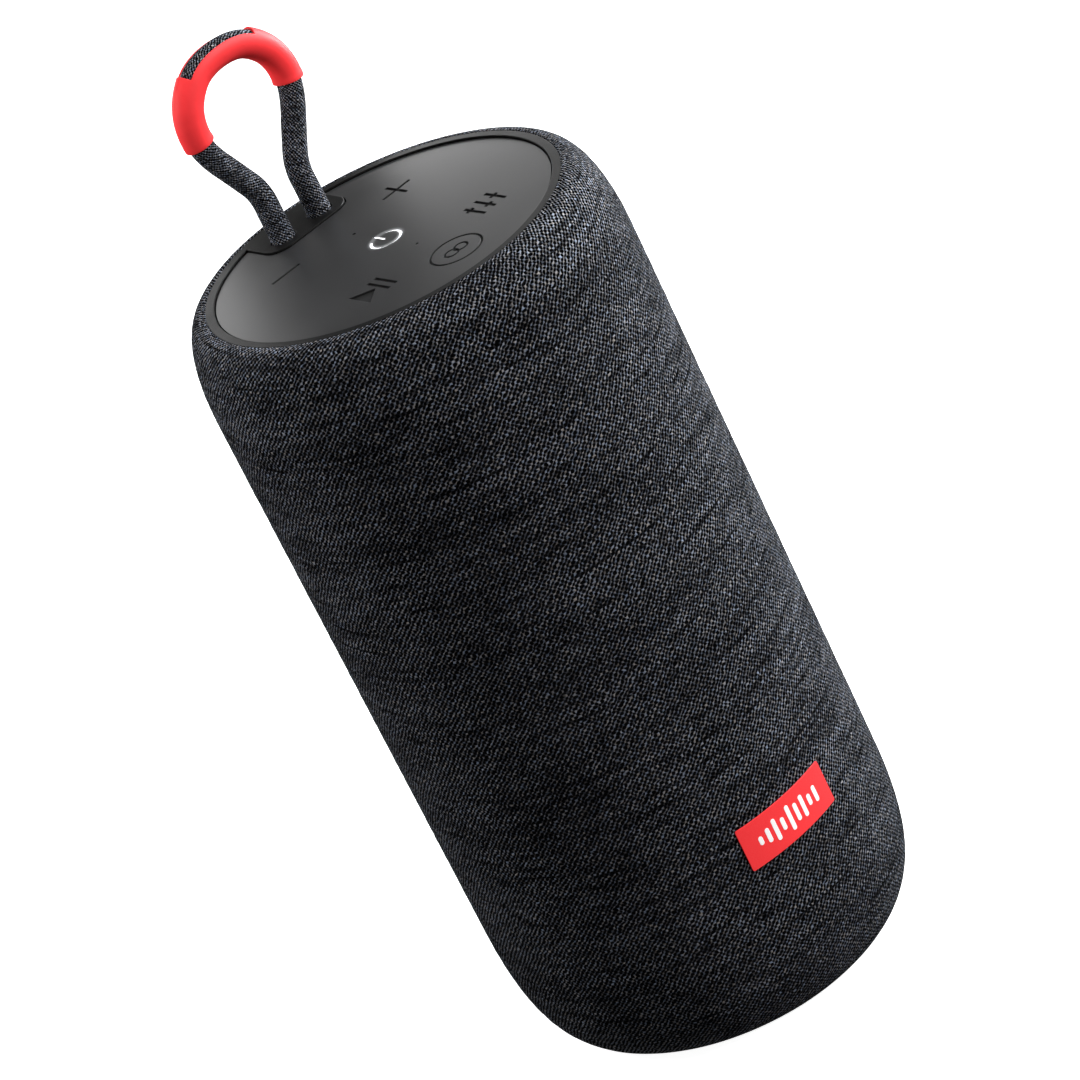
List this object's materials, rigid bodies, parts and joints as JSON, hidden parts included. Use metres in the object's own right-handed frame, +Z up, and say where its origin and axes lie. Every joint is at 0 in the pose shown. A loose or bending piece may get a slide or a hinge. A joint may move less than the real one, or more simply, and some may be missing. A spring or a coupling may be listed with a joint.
{
  "type": "portable speaker",
  "caption": "Cylindrical portable loudspeaker with a fabric-wrapped body, a round key deck on top, a cord carry loop with a moulded grip, and a rear port flap.",
  "frame": {"origin": "centre of the flat rubber foot, on the surface the speaker stands on", "axes": "+Z up along the body's axis, front (label side) towards -Y, cord loop and port flap towards +Y"},
  "size_m": [0.091, 0.092, 0.2229],
  "materials": {
    "body_fabric": "woven melange",
    "inner_plastic": "fine texture",
    "ring_plastic": "matte",
    "deck_rubber": "satin",
    "light_pipe": "translucent",
    "grey_rubber": "matte",
    "smoked_lens": "unlit",
    "circuit_board": "solder mask",
    "screw_steel": "bright",
    "cord_fabric": "fine weave",
    "red_rubber": "satin",
    "white_ink": "printed",
    "black_rubber": "matte",
    "pressed_steel": "satin",
    "magnet": "plated",
    "cone_paper": "pressed fibre",
    "radiator_metal": "brushed",
    "battery_wrap": "shrink wrap",
    "wire_sleeve": "smooth",
    "chip_plastic": "moulded",
    "ribbon_plastic": "smooth"
  },
  "bodies": {
    "housing": {"fabric_sleeve": "body_fabric", "grille_tube": "inner_plastic", "top_ring": "ring_plastic", "top_frame": "inner_plastic", "key_deck": "deck_rubber", "key_mat": "grey_rubber", "key_board": "circuit_board", "key_board_screws": "screw_steel", "microphone": "screw_steel", "status_led": "smoked_lens", "cord_ends": "cord_fabric", "anchor_plate": "screw_steel", "anchor_screws": "screw_steel", "frame_screws": "screw_steel", "label": "red_rubber", "label_mark": "white_ink", "base_cup": "inner_plastic", "foot_pad": "black_rubber", "base_screws": "screw_steel", "port_bezel": "inner_plastic", "enclosure_front": "inner_plastic", "enclosure_rear": "inner_plastic", "enclosure_gasket": "grey_rubber", "enclosure_screws": "screw_steel", "driver_frames": "pressed_steel", "driver_magnets": "magnet", "surround_lower": "black_rubber", "surround_upper": "black_rubber", "driver_gaskets": "grey_rubber", "driver_screws": "screw_steel", "radiator_frames": "inner_plastic", "radiator_surround_lower": "black_rubber", "radiator_surround_upper": "black_rubber", "radiator_screws": "screw_steel", "battery_cells": "battery_wrap", "battery_tray": "inner_plastic", "battery_lead": "wire_sleeve", "main_board": "circuit_board", "board_parts": "chip_plastic", "usb_c_socket": "screw_steel", "audio_socket": "chip_plastic", "board_screws": "screw_steel", "ribbon_cable": "ribbon_plastic", "driver_leads": "wire_sleeve"},
    "loop": {"cord_loop": "cord_fabric", "loop_grip": "red_rubber"},
    "flap": {"port_cover": "black_rubber"},
    "woofer_lower": {"cone_lower": "cone_paper"},
    "woofer_upper": {"cone_upper": "cone_paper"},
    "passive_lower": {"radiator_lower": "radiator_metal"},
    "passive_upper": {"radiator_upper": "radiator_metal"},
    "key_minus_body": {"key_minus": "deck_rubber"},
    "key_plus_body": {"key_plus": "deck_rubber"},
    "key_power_body": {"key_power": "deck_rubber", "power_light": "light_pipe"},
    "key_play_body": {"key_play": "deck_rubber"},
    "key_mode_body": {"key_mode": "deck_rubber"},
    "key_pair_body": {"key_pair": "deck_rubber"}
  },
  "joints": [
    {"name": "press_minus", "type": "slide", "parent": "housing", "child": "key_minus_body", "axis": [0, 0, -1], "range_m": [0, 0.0004], "stiffness_N_per_m": 2500, "deforming": ["key_mat"]},
    {"name": "press_plus", "type": "slide", "parent": "housing", "child": "key_plus_body", "axis": [0, 0, -1], "range_m": [0, 0.0004], "stiffness_N_per_m": 2500, "deforming": ["key_mat"]},
    {"name": "press_power", "type": "slide", "parent": "housing", "child": "key_power_body", "axis": [0, 0, -1], "range_m": [0, 0.0004], "stiffness_N_per_m": 2500, "deforming": ["key_mat"]},
    {"name": "press_play", "type": "slide", "parent": "housing", "child": "key_play_body", "axis": [0, 0, -1], "range_m": [0, 0.0004], "stiffness_N_per_m": 2500, "deforming": ["key_mat"]},
    {"name": "press_mode", "type": "slide", "parent": "housing", "child": "key_mode_body", "axis": [0, 0, -1], "range_m": [0, 0.0004], "stiffness_N_per_m": 2500, "deforming": ["key_mat"]},
    {"name": "press_pair", "type": "slide", "parent": "housing", "child": "key_pair_body", "axis": [0, 0, -1], "range_m": [0, 0.0004], "stiffness_N_per_m": 2500, "deforming": ["key_mat"]},
    {"name": "loop_tilt", "type": "hinge", "parent": "housing", "child": "loop", "pos_m": [0, 0.0285, 0.1829], "axis": [1, 0, 0], "range_deg": [-80, 75], "stiffness_Nm_per_rad": 0.02},
    {"name": "flap_hinge", "type": "hinge", "parent": "housing", "child": "flap", "pos_m": [0, 0.0455, 0.0274], "axis": [-1, 0, 0], "range_deg": [0, 105]},
    {"name": "cone_lower_travel", "type": "slide", "parent": "housing", "child": "woofer_lower", "axis": [0, -1, 0], "range_m": [-0.002, 0.002], "stiffness_N_per_m": 1500, "deforming": ["surround_lower"]},
    {"name": "cone_upper_travel", "type": "slide", "parent": "housing", "child": "woofer_upper", "axis": [0, -1, 0], "range_m": [-0.002, 0.002], "stiffness_N_per_m": 1500, "deforming": ["surround_upper"]},
    {"name": "radiator_lower_travel", "type": "slide", "parent": "housing", "child": "passive_lower", "axis": [0, 1, 0], "range_m": [-0.003, 0.003], "stiffness_N_per_m": 1200, "deforming": ["radiator_surround_lower"]},
    {"name": "radiator_upper_travel", "type": "slide", "parent": "housing", "child": "passive_upper", "axis": [0, 1, 0], "range_m": [-0.003, 0.003], "stiffness_N_per_m": 1200, "deforming": ["radiator_surround_upper"]}
  ]
}
